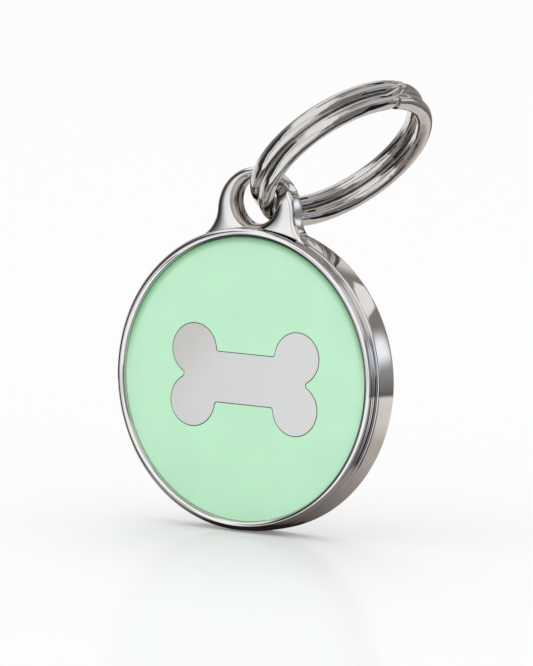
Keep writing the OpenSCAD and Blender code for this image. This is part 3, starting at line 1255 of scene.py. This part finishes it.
def studio_world(strength):
    """Even light for the object, white for the camera, and the studio for gloss."""
    world = bpy.data.worlds.new("studio")
    bpy.context.scene.world = world
    world.use_nodes = True
    tree = world.node_tree
    tree.nodes.clear()
    direction = add_node(tree, "ShaderNodeTexCoord").outputs["Generated"]
    seen = add_group(tree, "studio light", Direction=direction).outputs["Light"]
    paths = add_node(tree, "ShaderNodeLightPath").outputs
    even = add_node(tree, "ShaderNodeBackground", Color=(1, 1, 1, 1), Strength=strength)
    white = add_node(tree, "ShaderNodeBackground", Color=(1, 1, 1, 1), Strength=1.0)
    studio = add_node(tree, "ShaderNodeBackground", Color=seen, Strength=1.0)
    light = mix_shaders(tree, paths["Is Glossy Ray"], even.outputs[0], studio.outputs[0])
    light = mix_shaders(tree, paths["Is Camera Ray"], light, white.outputs[0])
    add_node(tree, "ShaderNodeOutputWorld", Surface=light)


def floor_material():
    """Pale floor that keeps the tag's shadow, and that gloss sees as a painted glow of the
    studio's lower half.
    """
    material = new_material("studio floor")
    tree = material.node_tree
    paint = add_node(
        tree, "ShaderNodeBsdfPrincipled", Base_Color=(FLOOR_PAINT, FLOOR_PAINT, FLOOR_PAINT, 1),
        Roughness=1.0, Specular_IOR_Level=0.0,
    )
    glow = add_node(tree, "ShaderNodeEmission", Strength=FLOOR_GLOW)
    gloss = add_node(tree, "ShaderNodeBsdfGlossy", Roughness=FLOOR_ROUGHNESS)
    lit = add_node(tree, "ShaderNodeAddShader")
    tree.links.new(paint.outputs[0], lit.inputs[0])
    tree.links.new(glow.outputs[0], lit.inputs[1])
    shown = mix_shaders(tree, FLOOR_GLOSS, lit.outputs[0], gloss.outputs[0])

    place = add_node(tree, "ShaderNodeTexCoord").outputs["Object"]
    tag_middle = (0, (CASE_LOW.y + CASE_HIGH.y) / 2, -CASE_LOW.z)
    from_tag = calculate_vector(tree, "SUBTRACT", place, tag_middle)
    seen = add_group(tree, "studio light", Direction=from_tag).outputs["Light"]
    # In reflections the floor glows with the studio light, whose lowest stops paint a shadow under
    # the tag.
    painted_floor_glow = add_node(tree, "ShaderNodeEmission", Color=seen, Strength=1.0)
    paths = add_node(tree, "ShaderNodeLightPath").outputs
    surface = mix_shaders(tree, paths["Is Camera Ray"], lit.outputs[0], shown)
    surface = mix_shaders(tree, paths["Is Glossy Ray"], surface, painted_floor_glow.outputs[0])
    add_node(tree, "ShaderNodeOutputMaterial", Surface=surface)
    return material


class PETTAG_OT_stage(bpy.types.Operator):
    """Lay the floor, light it and set the camera"""

    bl_idname = "pettag.stage"
    bl_label = "Stage"

    def execute(self, context):
        settings = context.scene.pet_tag_stage
        floor_side, far_view, film_width = 4, 10, 36
        clear_selection()
        bpy.ops.mesh.primitive_plane_add(size=floor_side, location=(0, 0, CASE_LOW.z))
        floor = context.object
        floor.name = "floor"
        studio_light_group()
        floor.data.materials.append(floor_material())
        studio_world(settings.fill_light)

        clear_selection()
        bpy.ops.object.light_add(type="SUN", location=KEY_FROM)
        key = context.object
        key.name = "key lamp"
        key.data.angle = settings.key_spread
        key.data.energy = settings.key_power
        key.rotation_mode = "QUATERNION"
        key.rotation_quaternion = (-Vector(KEY_FROM)).to_track_quat("-Z", "Y")
        key.visible_glossy = False

        azimuth, elevation = settings.azimuth, settings.elevation
        back = Vector((
            math.sin(azimuth) * math.cos(elevation),
            -math.cos(azimuth) * math.cos(elevation),
            math.sin(elevation),
        ))
        level = Vector((math.cos(azimuth), math.sin(azimuth), 0))
        upright = back.cross(level)
        right = math.cos(settings.roll) * level + math.sin(settings.roll) * upright
        up = math.cos(settings.roll) * upright - math.sin(settings.roll) * level
        clear_selection()
        bpy.ops.object.camera_add()
        camera = context.object
        camera.name = "camera"
        pose = Matrix((right, up, back)).transposed().to_4x4()
        place = Vector(settings.aim) + back * settings.distance
        camera.matrix_world = Matrix.Translation(place) @ pose
        camera.data.lens = settings.focal_length
        camera.data.sensor_width = film_width
        camera.data.clip_end = far_view
        context.scene.camera = camera
        context.scene.view_settings.view_transform = "Standard"
        return {"FINISHED"}


class PETTAG_PT_panel(bpy.types.Panel):
    """Lists the pieces and their sizes"""

    bl_label = "Pet Tag"
    bl_idname = "PETTAG_PT_panel"
    bl_space_type = "VIEW_3D"
    bl_region_type = "UI"
    bl_category = "Pet Tag"

    def draw(self, context):
        for group in (
            context.scene.pet_tag_case, context.scene.pet_tag_bezel,
            context.scene.pet_tag_face, context.scene.pet_tag_ring,
            context.scene.pet_tag_finishes, context.scene.pet_tag_stage,
        ):
            box = self.layout.box()
            for key in group.bl_rna.properties.keys():
                if key not in {"rna_type", "name"}:
                    box.prop(group, key)
        for operator in OPERATORS:
            self.layout.operator(operator.bl_idname)


SETTINGS = {
    "pet_tag_case": CaseSizes,
    "pet_tag_bezel": BezelSizes,
    "pet_tag_face": FaceSizes,
    "pet_tag_ring": RingSizes,
    "pet_tag_finishes": Finishes,
    "pet_tag_stage": StageSettings,
}
OPERATORS = (
    PETTAG_OT_stage, PETTAG_OT_finishes, PETTAG_OT_case, PETTAG_OT_loop, PETTAG_OT_bezel,
    PETTAG_OT_enamel, PETTAG_OT_badge, PETTAG_OT_back, PETTAG_OT_ring,
)


def register():
    """Registers the classes and hangs the settings on the scene."""
    for cls in (*SETTINGS.values(), *OPERATORS, PETTAG_PT_panel):
        bpy.utils.register_class(cls)
    for name, cls in SETTINGS.items():
        setattr(bpy.types.Scene, name, PointerProperty(type=cls))


def unregister():
    """Takes the settings and the classes away again."""
    for name in SETTINGS:
        delattr(bpy.types.Scene, name)
    for cls in reversed((*SETTINGS.values(), *OPERATORS, PETTAG_PT_panel)):
        bpy.utils.unregister_class(cls)


def main():
    """Builds the tag."""
    register()
    bpy.ops.pettag.stage()
    bpy.ops.pettag.finishes()
    bpy.ops.pettag.case()
    bpy.ops.pettag.loop()
    bpy.ops.pettag.bezel()
    bpy.ops.pettag.enamel()
    bpy.ops.pettag.badge()
    bpy.ops.pettag.back()
    bpy.ops.pettag.ring()
    clear_selection()


if __name__ == "__main__":
    main()
